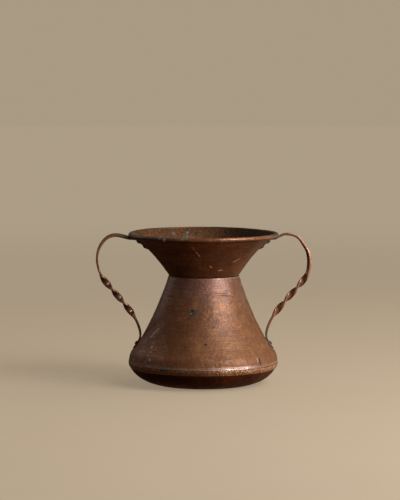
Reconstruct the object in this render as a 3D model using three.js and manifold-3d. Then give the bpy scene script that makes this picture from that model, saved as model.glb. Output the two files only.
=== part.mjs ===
// Two-handled copper jar: a waisted bell body, a flared neck with a wired rim, a dished
// bottom that laps the body, and two twisted strap handles held by rivets.
// Millimetres, +Z up. The jar stands on the XY plane and turns about Z; its handles lie along X.
import * as THREE from 'three';
import { mergeVertices } from 'three/addons/utils/BufferGeometryUtils.js';
import Module from 'manifold-3d';

const wasm = await Module();
wasm.setup();

// Driving dimensions. Profile points are (radius, height) on the outer face of the sheet.
const SHEET = 1.2;
const GAP = 0.3;
const FACETS = 48;

const HEIGHT = 204;
const BEAD_RADIUS = 2.75;
const RIM_CENTRE = point(98.6, HEIGHT - BEAD_RADIUS);
const CURL_SWEEP = 290;

const WAIST = point(47.3, 146.8);
const NECK_FOOT_RISE = 0.35;
const NECK_BEND = point(70, 181.3);
const SKIRT_FROM = 0.94;
const THROAT_INSET = 2.5;

const SHOULDER_RADIUS = 101;
const SHOULDER_FOOT = 32.2;
const SHOULDER_BEND = 39.4;
const BELL_FOOT = point(95.6, 45.4);
const BELL_LOWER_BEND = point(80.9, 61.7);
const BELL_UPPER_BEND = point(61, 103.1);

const FOOT_RADIUS = 64;
const DISH_BEND = point(90, 5.4);
const DISH_EDGE = point(98.8, 22.7);
const LAP_FOOT = point(100.1, 24.4);
const LAP_BEND = point(101, 27);
const LAP_TOP = point(SHOULDER_RADIUS, 30);
const FLANGE_FROM = 0.25;

const STRAP_WIDTH = 8.5;
const STRAP_THICKNESS = 3;
const STRAP_CORNER = 0.8;
const STRAP_STEPS = 84;
const TWIST_TURNS = 1.5;
const TWIST_FROM = 0.494;
const TWIST_TO = 0.799;

const SHANK_RADIUS = 1.6;
const HEAD_RADIUS = 2.9;
const HEAD_HEIGHT = 1.5;
const INNER_HEAD_HEIGHT = 1;

// Where along the neck and the bell each handle's rivets sit, as curve parameters.
const RIM_RIVET_AT = 0.79;
const NECK_RIVET_AT = 0.645;
const BODY_RIVET_AT = 0.14;

const UP = new THREE.Vector3(0, 0, 1);
const ACROSS = new THREE.Vector3(0, 1, 0);

function point(radius, height) {
  return new THREE.Vector2(radius, height);
}

// A point beside a profile curve that runs upward: outside the sheet for a positive distance.
function beside(curve, at, distance) {
  const on = curve.getPoint(at);
  const along = curve.getTangent(at);
  return point(on.x + along.y * distance, on.y - along.x * distance);
}

function run(curve, distance, from, to, steps) {
  const points = [];
  for (let i = 0; i <= steps; i++) {
    points.push(beside(curve, from + (to - from) * i / steps, distance));
  }
  return points;
}

function arc(centre, radius, fromDegrees, toDegrees, steps) {
  const points = [];
  for (let i = 0; i <= steps; i++) {
    const angle = THREE.MathUtils.degToRad(fromDegrees + (toDegrees - fromDegrees) * i / steps);
    points.push(point(centre.x + radius * Math.cos(angle), centre.y + radius * Math.sin(angle)));
  }
  return points;
}

// Turns a profile about the Z axis. The profile runs anticlockwise around its material.
function turned(points, facets = FACETS) {
  const geometry = new THREE.LatheGeometry(points, facets);
  geometry.rotateX(Math.PI / 2);
  return geometry;
}

function closed(points) {
  return [...points, points[0].clone()];
}

// Booleans: a closed mesh goes in as a manifold, the result comes back as a geometry.
function toManifold(geometry) {
  const bare = geometry.clone();
  bare.deleteAttribute('normal');
  bare.deleteAttribute('uv');
  const merged = mergeVertices(bare);
  return new wasm.Manifold(new wasm.Mesh({
    numProp: 3,
    vertProperties: new Float32Array(merged.attributes.position.array),
    triVerts: new Uint32Array(merged.index.array),
  }));
}

function toGeometry(manifold) {
  const mesh = manifold.getMesh();
  const geometry = new THREE.BufferGeometry();
  geometry.setAttribute('position', new THREE.BufferAttribute(mesh.vertProperties, mesh.numProp));
  geometry.setIndex(new THREE.BufferAttribute(mesh.triVerts, 1));
  geometry.computeVertexNormals();
  return geometry;
}

function drilled(geometry, holes) {
  let solid = toManifold(geometry);
  for (const hole of holes) {
    solid = solid.subtract(toManifold(hole));
  }
  return toGeometry(solid);
}

// The profile curves, each running upward.

// The line from the neck's bend that touches the inside of the rolled rim.
function rimTouch() {
  const toCentre = RIM_CENTRE.clone().sub(NECK_BEND);
  const curlRadius = BEAD_RADIUS - SHEET;
  const angle = toCentre.angle() + Math.asin(curlRadius / toCentre.length());
  const reach = Math.sqrt(toCentre.lengthSq() - curlRadius ** 2);
  const end = point(NECK_BEND.x + reach * Math.cos(angle), NECK_BEND.y + reach * Math.sin(angle));
  return { end, degrees: THREE.MathUtils.radToDeg(angle) };
}

const touch = rimTouch();
const neckFoot = point(WAIST.x, WAIST.y + NECK_FOOT_RISE);
const neckCurve = new THREE.QuadraticBezierCurve(neckFoot, NECK_BEND, touch.end);
const bellCurve = new THREE.CubicBezierCurve(BELL_FOOT, BELL_LOWER_BEND, BELL_UPPER_BEND, WAIST);
const shoulderCurve = new THREE.QuadraticBezierCurve(
  point(SHOULDER_RADIUS, SHOULDER_FOOT), point(SHOULDER_RADIUS, SHOULDER_BEND), BELL_FOOT);
const dishCurve = new THREE.QuadraticBezierCurve(point(FOOT_RADIUS, 0), DISH_BEND, DISH_EDGE);
const lapCurve = new THREE.QuadraticBezierCurve(LAP_FOOT, LAP_BEND, LAP_TOP);

// Rivets. Each one is set square to the sheet at a place on a profile curve, on the +X side.

function rivetPlace(curve, at) {
  const on = beside(curve, at, 0);
  const off = beside(curve, at, 1).sub(on);
  return {
    position: new THREE.Vector3(on.x, 0, on.y),
    axis: new THREE.Vector3(off.x, 0, off.y),
  };
}

const rivetPlaces = {
  rim: rivetPlace(neckCurve, RIM_RIVET_AT),
  neck: rivetPlace(neckCurve, NECK_RIVET_AT),
  body: rivetPlace(bellCurve, BODY_RIVET_AT),
};

function rivetGeometry() {
  const insideFace = -SHEET - GAP;
  const outsideFace = STRAP_THICKNESS + 2 * GAP;
  const domeSteps = 3;
  const dome = [];
  for (let i = 0; i <= domeSteps; i++) {
    const angle = i / domeSteps * Math.PI / 2;
    dome.push(point(HEAD_RADIUS * Math.cos(angle), outsideFace + HEAD_HEIGHT * Math.sin(angle)));
  }
  dome[domeSteps].x = 0;
  return turned([
    point(0, insideFace - INNER_HEAD_HEIGHT),
    point(HEAD_RADIUS - GAP, insideFace - INNER_HEAD_HEIGHT),
    point(HEAD_RADIUS, insideFace),
    point(SHANK_RADIUS, insideFace),
    point(SHANK_RADIUS, outsideFace),
    ...dome,
  ], 16);
}

function rivetHole(place, turn = 0) {
  const length = 16;
  const hole = new THREE.CylinderGeometry(SHANK_RADIUS + GAP, SHANK_RADIUS + GAP, length, 16);
  hole.rotateX(Math.PI / 2);
  hole.applyQuaternion(new THREE.Quaternion().setFromUnitVectors(UP, place.axis));
  hole.translate(place.position.x, place.position.y, place.position.z);
  hole.rotateZ(turn);
  return hole;
}

// One hole on each side of the jar.
function holePair(place) {
  return [rivetHole(place), rivetHole(place, Math.PI)];
}

// Sheet pieces.

function neckFunnelGeometry() {
  const curlStart = touch.degrees + 90;
  const curlEnd = curlStart - CURL_SWEEP;
  const curlSteps = 9;
  const wallSteps = 8;
  const skirtOutside = -SHEET - GAP;
  const profile = [
    ...run(bellCurve, skirtOutside, SKIRT_FROM, 1, 2),
    point(WAIST.x - SHEET - GAP, WAIST.y + NECK_FOOT_RISE / 2),
    ...run(neckCurve, 0, 0, 1, wallSteps),
    ...arc(RIM_CENTRE, BEAD_RADIUS - SHEET, curlStart, curlEnd, curlSteps).slice(1),
    ...arc(RIM_CENTRE, BEAD_RADIUS, curlEnd, curlStart, curlSteps),
    ...run(neckCurve, -SHEET, 1, 1 / wallSteps, wallSteps - 1).slice(1),
    point(WAIST.x - THROAT_INSET, neckFoot.y),
    ...run(bellCurve, skirtOutside - SHEET, 1, SKIRT_FROM, 2),
  ];
  return drilled(turned(closed(profile)), [
    ...holePair(rivetPlaces.rim),
    ...holePair(rivetPlaces.neck),
  ]);
}

function rimWireGeometry() {
  const wireRadius = BEAD_RADIUS - SHEET - GAP;
  const ring = new THREE.TorusGeometry(RIM_CENTRE.x, wireRadius, 6, FACETS);
  ring.translate(0, 0, RIM_CENTRE.y);
  return ring;
}

function bodyShellGeometry() {
  const flangeOutside = -SHEET - GAP;
  const flangeInside = flangeOutside - SHEET;
  const lapTopInside = beside(lapCurve, 1, flangeOutside);
  const profile = [
    ...run(lapCurve, flangeOutside, FLANGE_FROM, 1, 2),
    point(lapTopInside.x, LAP_TOP.y + 2 * GAP),
    ...run(shoulderCurve, 0, 0, 1, 4),
    ...run(bellCurve, 0, 0, 1, 11).slice(1),
    ...run(bellCurve, -SHEET, 1, 0, 11),
    ...run(shoulderCurve, -SHEET, 1, 0, 4).slice(1),
    ...run(lapCurve, flangeInside, 1, FLANGE_FROM, 2),
  ];
  return drilled(turned(closed(profile)), holePair(rivetPlaces.body));
}

function basePanGeometry() {
  const profile = [
    point(0, 0),
    ...run(dishCurve, 0, 0, 1, 7),
    ...run(lapCurve, 0, 0, 1, 3),
    ...run(lapCurve, -SHEET, 1, 0, 3),
    ...run(dishCurve, -SHEET, 1, 0, 7),
    point(0, SHEET),
  ];
  return turned(profile);
}

// Handles.

// How far the strap has turned about its own length, at a fraction of that length.
function twistAt(along) {
  const share = THREE.MathUtils.clamp((along - TWIST_FROM) / (TWIST_TO - TWIST_FROM), 0, 1);
  return -share * TWIST_TURNS * 2 * Math.PI;
}

// The middle line of a strap, flat across the jar except where it is twisted.
class StrapPath extends THREE.CatmullRomCurve3 {
  computeFrenetFrames(segments) {
    const frames = { tangents: [], normals: [], binormals: [] };
    for (let i = 0; i <= segments; i++) {
      const tangent = this.getTangentAt(i / segments);
      const normal = new THREE.Vector3().crossVectors(ACROSS, tangent);
      normal.applyAxisAngle(tangent, twistAt(i / segments));
      frames.tangents.push(tangent);
      frames.normals.push(normal);
      frames.binormals.push(new THREE.Vector3().crossVectors(tangent, normal));
    }
    return frames;
  }
}

function strapSection() {
  const thick = STRAP_THICKNESS / 2;
  const wide = STRAP_WIDTH / 2;
  return new THREE.Shape([
    point(thick, STRAP_CORNER - wide),
    point(thick, wide - STRAP_CORNER),
    point(thick - STRAP_CORNER, wide),
    point(STRAP_CORNER - thick, wide),
    point(-thick, wide - STRAP_CORNER),
    point(-thick, STRAP_CORNER - wide),
    point(STRAP_CORNER - thick, -wide),
    point(thick - STRAP_CORNER, -wide),
  ]);
}

function handleRoute() {
  const lift = GAP + STRAP_THICKNESS / 2;
  const loop = [
    point(98.6, 196.4),
    point(104, 198),
    point(110, 199.6),
    point(116.5, 200.7),
    point(123, 200.1),
    point(129.2, 197.5),
    point(134, 193.1),
    point(138.5, 186.6),
    point(142.1, 178),
    point(143.7, 169),
    point(143.2, 160),
    point(138.7, 145.8),
    point(124.6, 127.9),
    point(108.8, 109.7),
    point(94.6, 91.6),
    point(89.4, 81.8),
    point(86.2, 73),
    point(85.2, 66.4),
  ];
  return [
    ...run(neckCurve, lift, 0.575, 0.86, 7),
    ...loop,
    ...run(bellCurve, lift, 0.225, 0.03, 3),
  ];
}

function handleGeometry() {
  const route = handleRoute().map((at) => new THREE.Vector3(at.x, 0, at.y));
  const path = new StrapPath(route, false, 'centripetal');
  const strap = new THREE.ExtrudeGeometry(strapSection(), {
    steps: STRAP_STEPS,
    extrudePath: path,
    bevelEnabled: false,
  });
  const places = Object.values(rivetPlaces);
  return drilled(strap, places.map((place) => rivetHole(place)));
}

// Materials and assembly.

function metal(color, roughness) {
  return new THREE.MeshStandardMaterial({ color, roughness, metalness: 1 });
}

function piece(name, geometry, material) {
  const mesh = new THREE.Mesh(geometry, material);
  mesh.name = name;
  return mesh;
}

function rivets(side) {
  const group = new THREE.Group();
  for (const [where, place] of Object.entries(rivetPlaces)) {
    const rivet = piece(`rivet_${side}_${where}`, rivetGeometry(), metal(0x6b4a38, 0.5));
    rivet.position.copy(place.position);
    rivet.quaternion.setFromUnitVectors(UP, place.axis);
    group.add(rivet);
  }
  return group;
}

// A handle with its rivets, on the +X side, then turned about Z to its own side.
function handleSide(side, turn) {
  const group = new THREE.Group();
  group.add(piece(`handle_${side}`, handleGeometry(), metal(0x8a5a44, 0.4)));
  group.add(rivets(side));
  group.rotation.z = turn;
  return group;
}

const jar = new THREE.Group();
jar.add(piece('neck_funnel', neckFunnelGeometry(), metal(0x5a3626, 0.45)));
jar.add(piece('rim_wire', rimWireGeometry(), metal(0x4a4644, 0.7)));
jar.add(piece('body_shell', bodyShellGeometry(), metal(0x8c5c47, 0.42)));
jar.add(piece('base_pan', basePanGeometry(), metal(0x6e4230, 0.48)));
jar.add(handleSide('right', 0));
jar.add(handleSide('left', Math.PI));

export default jar;
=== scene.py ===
"""Looks of the two-handled copper jar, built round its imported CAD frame.

Metres, +Z up, in the frame's own axes: the jar turns about Z and its handles lie along X.
A place on the jar is given by its angle in degrees, from the front (-Y) towards +X, and its height.
A profile is a list of (radius, height) points. It runs anticlockwise round its material.
"""

import math
import random

import bpy
from mathutils import Matrix, Quaternion, Vector, kdtree, noise


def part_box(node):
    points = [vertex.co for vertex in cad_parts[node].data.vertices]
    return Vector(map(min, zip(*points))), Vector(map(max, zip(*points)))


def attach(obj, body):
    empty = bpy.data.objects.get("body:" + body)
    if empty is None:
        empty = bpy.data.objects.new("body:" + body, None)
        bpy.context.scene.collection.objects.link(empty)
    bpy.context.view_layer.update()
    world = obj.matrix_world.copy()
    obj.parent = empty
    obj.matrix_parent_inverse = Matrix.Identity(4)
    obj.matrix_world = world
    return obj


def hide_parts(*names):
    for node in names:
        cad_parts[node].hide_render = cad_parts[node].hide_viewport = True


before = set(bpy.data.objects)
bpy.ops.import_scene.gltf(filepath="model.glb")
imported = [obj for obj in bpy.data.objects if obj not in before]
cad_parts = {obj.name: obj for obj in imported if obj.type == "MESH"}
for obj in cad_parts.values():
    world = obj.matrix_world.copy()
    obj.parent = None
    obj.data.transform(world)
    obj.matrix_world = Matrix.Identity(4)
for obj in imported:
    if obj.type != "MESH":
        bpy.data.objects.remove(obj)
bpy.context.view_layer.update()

# Sizes. What the frame says comes first. The rest are the CAD part's own dimensions, except that the
# seam above the bottom is 1.4 mm lower.
MM = 0.001
NECK_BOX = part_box("neck_funnel")
BODY_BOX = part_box("body_shell")
HEIGHT = NECK_BOX[1].z
BELLY_RADIUS = BODY_BOX[1].x
WAIST_HEIGHT = BODY_BOX[1].z
WAIST_RADIUS = 47.3 * MM
SEAM_HEIGHT = 28.6 * MM

SHEET = 1.2 * MM
GAP = 0.3 * MM
BEAD_RADIUS = 2.75 * MM
RIM_CENTRE = Vector((NECK_BOX[1].x - BEAD_RADIUS, HEIGHT - BEAD_RADIUS))
CURL_SWEEP = 322
SKIRT_FROM = 0.94
FOOT_RADIUS = 64 * MM

STRAP_WIDTH = 8.5 * MM
STRAP_THICKNESS = 3 * MM
STRAP_CORNER = 0.7 * MM
NECK_TAIL_AT = 0.575
BODY_TAIL_AT = 0.225
TAIL_SHARE = 0.45
TWIST_TURNS = 1.5
TWIST_FROM = 0.494
TWIST_TO = 0.799

SHANK_RADIUS = 1.6 * MM
HEAD_RADIUS = 2.9 * MM
HEAD_HEIGHT = 1.5 * MM
RIM_RIVET_AT = 0.79
NECK_RIVET_AT = 0.645
BODY_RIVET_AT = 0.14

# Mesh fineness: the distance between a profile's points, and steps round the jar and the rivets and
# along a strap.
SPACING = 0.9 * MM
FINE_SPACING = 0.6 * MM
HIDDEN_SPACING = 2.5 * MM
SEGMENTS = 448
STRAP_STEPS = 400
RIVET_SEGMENTS = 28

# The two handles, each with its turn about Z.
SIDES = {"right": 0.0, "left": math.pi}


def mm(radius, height):
    return Vector((radius * MM, height * MM))


def clamp(value, low=0.0, high=1.0):
    return max(low, min(high, value))


def smooth(value, low, high):
    """0 below low, 1 above high, and an S between them."""
    share = clamp((value - low) / (high - low))
    return share * share * (3 - 2 * share)


class Curve:
    """A Bezier curve of (radius, height) points that runs upward."""

    def __init__(self, *points):
        self.points = points

    def at(self, share):
        points = list(self.points)
        while len(points) > 1:
            points = [a.lerp(b, share) for a, b in zip(points, points[1:])]
        return points[0]

    def along(self, share):
        step = 0.001
        return (self.at(min(share + step, 1)) - self.at(max(share - step, 0))).normalized()

    def beside(self, share, distance):
        """A point beside the curve: outside the sheet for a positive distance."""
        along = self.along(share)
        return self.at(share) + Vector((along.y, -along.x)) * distance

    def run(self, distance, start=0.0, end=1.0, spacing=SPACING):
        """Points beside a stretch of the curve, about spacing metres apart."""
        pieces = 8
        rough = [self.at(start + (end - start) * i / pieces) for i in range(pieces + 1)]
        length = sum((b - a).length for a, b in zip(rough, rough[1:]))
        count = max(2, round(length / spacing))
        return [self.beside(start + (end - start) * i / count, distance) for i in range(count + 1)]

    def share_at(self, height):
        """The share of the curve that lies below a height."""
        low, high = 0.0, 1.0
        halvings = 30
        for _ in range(halvings):
            middle = (low + high) / 2
            if self.at(middle).y < height:
                low = middle
            else:
                high = middle
        return low


def arc(centre, radius, start, end, count):
    """Points on an arc between two angles in degrees."""
    angles = [math.radians(start + (end - start) * i / count) for i in range(count + 1)]
    return [centre + Vector((math.cos(a), math.sin(a))) * radius for a in angles]


def lip(start, end, depth, count=8):
    """A sheet's cut edge with rounded corners, which stands out by depth between its two faces."""
    squareness = 0.55
    middle, half = (start + end) / 2, (start - end) / 2
    out = Vector((-half.y, half.x)).normalized() * depth
    points = []
    for i in range(1, count):
        angle = math.pi * i / count
        sideways = math.copysign(abs(math.cos(angle)) ** squareness, math.cos(angle))
        points.append(middle + half * sideways + out * math.sin(angle) ** squareness)
    return points


# The profile curves, which run upward. From the top: neck, bell, shoulder, the band that laps the body, dish.
NECK_FOOT = Vector((WAIST_RADIUS, WAIST_HEIGHT + 0.35 * MM))
NECK_BEND = mm(70, 181.3)


def rim_touch():
    """Where the line from the neck's bend touches the inside of the rolled rim, and its slope in degrees."""
    to_centre = RIM_CENTRE - NECK_BEND
    curl = BEAD_RADIUS - SHEET
    angle = math.atan2(to_centre.y, to_centre.x) + math.asin(curl / to_centre.length)
    reach = math.sqrt(to_centre.length_squared - curl ** 2)
    return NECK_BEND + Vector((math.cos(angle), math.sin(angle))) * reach, math.degrees(angle)


TOUCH, TOUCH_SLOPE = rim_touch()
WAIST = Vector((WAIST_RADIUS, WAIST_HEIGHT))
BELL_FOOT = mm(95.6, 45.4)
LAP_TOP = Vector((BELLY_RADIUS, SEAM_HEIGHT))
SHOULDER_FOOT = Vector((BELLY_RADIUS, SEAM_HEIGHT + 1.0 * MM))
neck_curve = Curve(NECK_FOOT, NECK_BEND, TOUCH)
bell_curve = Curve(BELL_FOOT, mm(80.9, 61.7), mm(61, 103.1), WAIST)
shoulder_curve = Curve(SHOULDER_FOOT, mm(100.35, 31.6), mm(100.1, 41.0), BELL_FOOT)
dish_curve = Curve(Vector((FOOT_RADIUS, 0)), mm(90, 5.4), mm(99, 23.2))
lap_curve = Curve(mm(100.2, 24.8), mm(101, 26.6), LAP_TOP)


def radius_at(height):
    """The radius of the jar's outside at a height."""
    for curve in (neck_curve, bell_curve, shoulder_curve, lap_curve, dish_curve):
        if height >= curve.points[0].y:
            return curve.at(curve.share_at(height)).x
    return FOOT_RADIUS


def around(angle, radius, height):
    """The point at an angle in degrees round the jar's axis."""
    turn = math.radians(angle)
    return Vector((radius * math.sin(turn), -radius * math.cos(turn), height))


def on_jar(angle, height, inward=0.0):
    """The point on the jar's outside at an angle and a height in millimetres, or inward of it."""
    return around(angle, radius_at(height * MM) - inward, height * MM)


def on_bead(angle, rise):
    """The point on the rolled rim at an angle, and at a rise in degrees round its section."""
    lift = math.radians(rise)
    centre, radius = RIM_CENTRE, BEAD_RADIUS
    return around(angle, centre.x + radius * math.cos(lift), centre.y + radius * math.sin(lift))


# The jar was made by hand, so every piece shares a slight lean, an oval rim and an uneven edge.
# The lean is (height in mm, how far the jar has moved towards +X in mm).
LEAN = [(0, -1.1), (40, -1.1), (95, -0.6), (146, -0.1), (204, -0.8)]


def settled(point):
    """Where a point of the plain jar is on the leaning, oval one."""
    height = point.z / MM
    lean = LEAN[-1][1]
    for (low, at_low), (high, at_high) in zip(LEAN, LEAN[1:]):
        if height <= high:
            lean = at_low + (at_high - at_low) * clamp((height - low) / (high - low))
            break
    angle = math.atan2(point.x, -point.y)
    upper = smooth(point.z, WAIST_HEIGHT, HEIGHT)
    outness = clamp(point.xy.length / BELLY_RADIUS)
    oval = 0.0022 * math.sin(2 * angle + 0.9) + 0.0012 * math.sin(3 * angle + 2.0)
    wave = 0.35 * MM * math.sin(2 * angle + 0.4) + 0.15 * MM * math.sin(5 * angle)
    return Vector((
        point.x * (1 + oval * outness) + lean * MM,
        point.y * (1 + oval * outness),
        point.z + wave * upper * outness,
    ))


# Relief: how far the surface stands out of the plain shape at a place.
def hammered(place, size, depth):
    """Overlapping shallow bowls left by a planishing hammer."""
    distance = noise.voronoi(place / size)[0][0]
    return depth * (distance * distance - 0.25)


def lumpy(place, size, depth):
    return depth * noise.noise(place / size)


def ringed(place, pitch, depth):
    """Uneven rings left by turning the sheet, a few millimetres apart."""
    wander = 1.1 * noise.noise(place / (34 * MM))
    strength = 0.8 + 1.0 * noise.noise(place / (26 * MM) + Vector((5, 0, 0)))
    return depth * strength * math.sin(2 * math.pi * (place.z / pitch + wander))


def seeded_places(seed, count, angles, heights):
    """Scattered places on the jar, within ranges of angle and of height in mm."""
    chance = random.Random(seed)
    return [on_jar(chance.uniform(*angles), chance.uniform(*heights)) for _ in range(count)]


def tree_of(places):
    tree = kdtree.KDTree(len(places))
    for index, place in enumerate(places):
        tree.insert(place, index)
    tree.balance()
    return tree


pits = tree_of(
    seeded_places(3, 60, (-80, -38), (34, 68))
    + seeded_places(4, 26, (-38, 60), (33, 60))
    + seeded_places(5, 90, (80, 300), (33, 75))
)
PIT_RADIUS = 1.5 * MM


def pitted(place, depth):
    """Round pits with a slightly raised edge."""
    _, index, distance = pits.find(place)
    reach = distance / (PIT_RADIUS * (0.7 + 0.6 * (index * 7 % 10) / 10))
    if reach > 2:
        return 0.0
    return depth * (0.45 * math.exp(-((reach - 1.25) / 0.35) ** 2) - math.exp(-reach * reach))


# Creases pressed into the body below the waist: (angles from, to, height in mm, rise in mm, depth in mm).
CREASES = [
    (-10, 44, 123.2, 2.2, 0.62), (14, 44, 114.3, 0.8, 0.45), (-60, -22, 119.5, 1.0, 0.40),
    (-58, -25, 131.0, 0.8, 0.35), (2, 30, 134.5, 0.8, 0.30), (150, 230, 118.5, 1.5, 0.40),
]
CREASE_WIDTH = 1.0 * MM


def creased(place, angle):
    """Narrow arched grooves that fade out at both ends."""
    depth = 0.0
    for start, end, height, rise, deep in CREASES:
        share = ((angle - start) % 360) / (end - start)
        if share < 1:
            middle = height + rise * math.sin(math.pi * share)
            off = (place.z - middle * MM) / CREASE_WIDTH
            fade = min(1, 6 * share, 6 * (1 - share))
            depth -= deep * MM * math.exp(-off * off) * fade
    return depth


def body_relief(place):
    """Hammer marks, strongest low down, turning rings, strongest high up, and pits, creases and dents."""
    angle = math.degrees(math.atan2(place.x, -place.y))
    low = 1 - smooth(place.z, 45 * MM, 105 * MM)
    upper = smooth(place.z, 95 * MM, 125 * MM)
    planished = hammered(place, 6.5 * MM, (0.12 + 0.20 * low) * MM)
    stretched = Vector((place.x / 3, place.y / 3, place.z))
    rings = ringed(place, 3.6 * MM, 0.035 * MM) + ringed(place, 5.5 * MM, (0.02 + 0.10 * upper) * MM)
    drawn = rings + lumpy(stretched, 4 * MM, 0.12 * MM)
    waves = lumpy(Vector((place.x, place.y, place.z * 1.6)), 15 * MM, 0.30 * MM)
    return planished + drawn + waves + pitted(place, 0.45 * MM) + creased(place, angle) + dented(place)


def neck_relief(place):
    return hammered(place, 9 * MM, 0.16 * MM) + lumpy(place, 22 * MM, 0.3 * MM)


def rim_relief(place):
    return lumpy(place, 9 * MM, 0.22 * MM) + hammered(place, 5 * MM, 0.14 * MM)


def lap_relief(place):
    edge = 1 - smooth(place.z, 25.5 * MM, 28 * MM)
    planished = hammered(place, 3.4 * MM, 0.42 * MM * edge)
    return planished + hammered(place, 7 * MM, 0.14 * MM) + lumpy(place, 16 * MM, 0.22 * MM)


def dish_relief(place):
    out = smooth(place.xy.length, FOOT_RADIUS, FOOT_RADIUS + 12 * MM)
    return out * (hammered(place, 8 * MM, 0.2 * MM) + lumpy(place, 26 * MM, 0.3 * MM))


def plain_relief(place):
    return lumpy(place, 15 * MM, 0.08 * MM)


# Broad shallow dents in the body: (angle, height in mm, radius in mm, depth in mm).
DENTS = [
    (-16, 104, 3.2, 0.35), (49, 37, 3.0, 0.5), (32, 84, 16, 0.35), (-48, 60, 14, 0.45),
    (75, 60, 12, 0.3), (-25, 125, 10, 0.25), (140, 90, 18, 0.5), (215, 70, 15, 0.4),
    (10, 48, 12, 0.25),
]
dent_places = [(on_jar(angle, height), radius * MM, depth * MM) for angle, height, radius, depth in DENTS]


def dented(place):
    depth = 0.0
    for centre, radius, deep in dent_places:
        off = (place - centre).length / radius
        if off < 2.5:
            depth -= deep * math.exp(-off * off)
    return depth


# Mesh making.
def finished(name, vertices, faces, surfaces, paints, nodes, slot):
    """A smooth mesh object that rides on the root body and stands for its CAD nodes."""
    mesh = bpy.data.meshes.new(name)
    mesh.from_pydata(vertices, [], faces)
    for paint in paints:
        mesh.materials.append(paint)
    mesh.polygons.foreach_set("material_index", surfaces)
    mesh.polygons.foreach_set("use_smooth", [True] * len(faces))
    mesh.validate()
    mesh.update()
    piece = bpy.data.objects.new(name, mesh)
    bpy.context.scene.collection.objects.link(piece)
    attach(piece, "root")
    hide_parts(*nodes)


def turned(outline, segments=SEGMENTS, pose=None):
    """Turns an outline about Z. The outline is a closed list of (point, relief, paint index).
    A point at radius 0 becomes one vertex. Returns vertices, faces and each face's paint index."""
    count = len(outline)
    vertices, rings = [], []
    for index, (point, relief, _) in enumerate(outline):
        before, after = outline[index - 1][0], outline[(index + 1) % count][0]
        along = after - before
        out = Vector((along.y, -along.x)).normalized()
        if point.x < 1e-7:
            rings.append([len(vertices)])
            vertices.append(Vector((0, 0, point.y)))
            continue
        ring = []
        for step in range(segments):
            turn = 2 * math.pi * step / segments
            round_z = Vector((math.sin(turn), -math.cos(turn), 0))
            place = round_z * point.x
            place.z = point.y
            shift = relief(place) if relief else 0.0
            place += (round_z * out.x + Vector((0, 0, out.y))) * shift
            ring.append(len(vertices))
            vertices.append(place)
        rings.append(ring)
    vertices = [settled(pose @ v if pose else v) for v in vertices]
    faces, surfaces = [], []
    for index in range(count):
        low, high = rings[index], rings[(index + 1) % count]
        if len(low) == 1 and len(high) == 1:
            continue
        for step in range(segments):
            after = (step + 1) % segments
            if len(low) == 1:
                faces.append((low[0], high[after], high[step]))
            elif len(high) == 1:
                faces.append((low[step], low[after], high[0]))
            else:
                faces.append((low[step], low[after], high[after], high[step]))
            surfaces.append(outline[index][2])
    return vertices, faces, surfaces


def strip(points, relief=None, paint=0):
    """A stretch of an outline with one relief and one paint."""
    return [(point, relief, paint) for point in points]


def neck_outline():
    """Outside 0, rim 1, inside 2."""
    curl_start = TOUCH_SLOPE + 90
    curl_end = curl_start - CURL_SWEEP
    skirt_outside = -SHEET - GAP
    skirt = bell_curve.run(skirt_outside, SKIRT_FROM, 1, HIDDEN_SPACING)
    skirt_inside = bell_curve.run(skirt_outside - SHEET, 1, SKIRT_FROM, HIDDEN_SPACING)
    foot = Vector((WAIST_RADIUS - SHEET - GAP, NECK_FOOT.y - 0.1 * MM))
    throat = Vector((WAIST_RADIUS - 2.5 * MM, NECK_FOOT.y))
    return [
        *strip(skirt, None, 2),
        *strip([foot]),
        *strip(neck_curve.run(0)[:-1], neck_relief),
        *strip(arc(RIM_CENTRE, BEAD_RADIUS - SHEET, curl_start, curl_end, 14)),
        *strip(arc(RIM_CENTRE, BEAD_RADIUS, curl_end, curl_start, 30), rim_relief, 1),
        *strip(neck_curve.run(-SHEET, 0.985, 0.02, 1.2 * MM), neck_relief, 2),
        *strip([throat], None, 2),
        *strip(skirt_inside, None, 2),
    ]


def body_outline():
    """Outside 0, inside 1."""
    flange_from = 0.25
    flange_outside = -SHEET - GAP
    flange_inside = flange_outside - SHEET
    shelf = [
        Vector((lap_curve.beside(1, flange_outside).x, SEAM_HEIGHT + 0.4 * MM)),
        Vector((BELLY_RADIUS - 0.6 * MM, SEAM_HEIGHT + 0.6 * MM)),
        Vector((BELLY_RADIUS - 0.2 * MM, SEAM_HEIGHT + 0.85 * MM)),
    ]
    lip_at = 0.992
    top_outside = bell_curve.beside(lip_at, 0)
    top_inside = bell_curve.beside(lip_at, -SHEET)
    return [
        *strip(lap_curve.run(flange_outside, flange_from, 1, HIDDEN_SPACING), None, 1),
        *strip(shelf),
        *strip(shoulder_curve.run(0, 0, 1, FINE_SPACING), body_relief),
        *strip(bell_curve.run(0, 0, lip_at)[1:], body_relief),
        *strip(lip(top_outside, top_inside, 0.4 * MM)),
        *strip(bell_curve.run(-SHEET, lip_at, 0, HIDDEN_SPACING), plain_relief, 1),
        *strip(shoulder_curve.run(-SHEET, 1, 0, HIDDEN_SPACING)[1:], plain_relief, 1),
        *strip(lap_curve.run(flange_inside, 1, flange_from, HIDDEN_SPACING), None, 1),
    ]


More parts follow.
